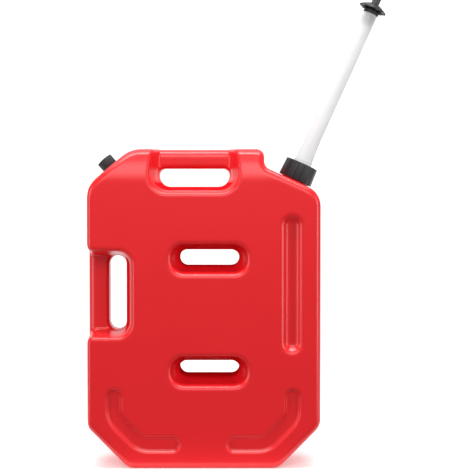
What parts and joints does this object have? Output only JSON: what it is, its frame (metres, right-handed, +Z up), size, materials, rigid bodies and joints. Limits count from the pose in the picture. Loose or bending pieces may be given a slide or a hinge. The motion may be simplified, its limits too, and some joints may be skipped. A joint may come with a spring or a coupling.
{
  "type": "safety gas can",
  "caption": "Flat upright fuel can with a top and a side grip, two bracket slots, a screwed pour neck with a long translucent spout and stopper, and a screwed vent cap.",
  "frame": {"origin": "centre of the flat base that the can stands on", "axes": "+Z up, +X towards the pour neck, front face towards -Y"},
  "size_m": [0.5682, 0.15, 0.9032],
  "materials": {
    "red_polyethylene": "moulded satin",
    "black_polypropylene": "moulded satin",
    "natural_polyethylene": "translucent, moulded",
    "seal_rubber": "matt"
  },
  "bodies": {
    "can": {"tank_front": "red_polyethylene", "tank_back": "red_polyethylene", "top_grip": "red_polyethylene", "side_grip": "red_polyethylene", "lower_slot": "red_polyethylene", "upper_slot": "red_polyethylene", "pour_neck": "red_polyethylene", "vent_neck": "red_polyethylene"},
    "spout": {"spout_tube": "natural_polyethylene", "pour_gasket": "seal_rubber"},
    "nut": {"ring_nut": "black_polypropylene"},
    "stopper": {"spout_stopper": "black_polypropylene", "stopper_seal": "seal_rubber"},
    "vent_disc": {"vent_seal": "seal_rubber"},
    "vent_screw_cap": {"vent_cap": "black_polypropylene"}
  },
  "joints": [
    {"name": "spout_lift", "type": "slide", "parent": "can", "child": "spout", "axis": [0.4147, 0, 0.91], "range_m": [0, 0.021]},
    {"name": "nut_turn", "type": "hinge", "parent": "spout", "child": "nut", "pos_m": [0.17274, 0, 0.53946], "axis": [0.4147, 0, 0.91], "range_deg": [0, 1260]},
    {"name": "stopper_pull", "type": "slide", "parent": "spout", "child": "stopper", "axis": [0.4147, 0, 0.91], "range_m": [0, 0.022]},
    {"name": "vent_lift", "type": "slide", "parent": "can", "child": "vent_disc", "axis": [-0.6598, 0, 0.7514], "range_m": [0, 0.0105]},
    {"name": "vent_turn", "type": "hinge", "parent": "vent_disc", "child": "vent_screw_cap", "pos_m": [-0.17754, 0, 0.56528], "axis": [-0.6598, 0, 0.7514], "range_deg": [0, 1260]}
  ],
  "couplings": [
    {"joint": "spout_lift", "follows": "nut_turn", "m_per_rad": 0.00095493},
    {"joint": "vent_lift", "follows": "vent_turn", "m_per_rad": 0.00047746}
  ]
}
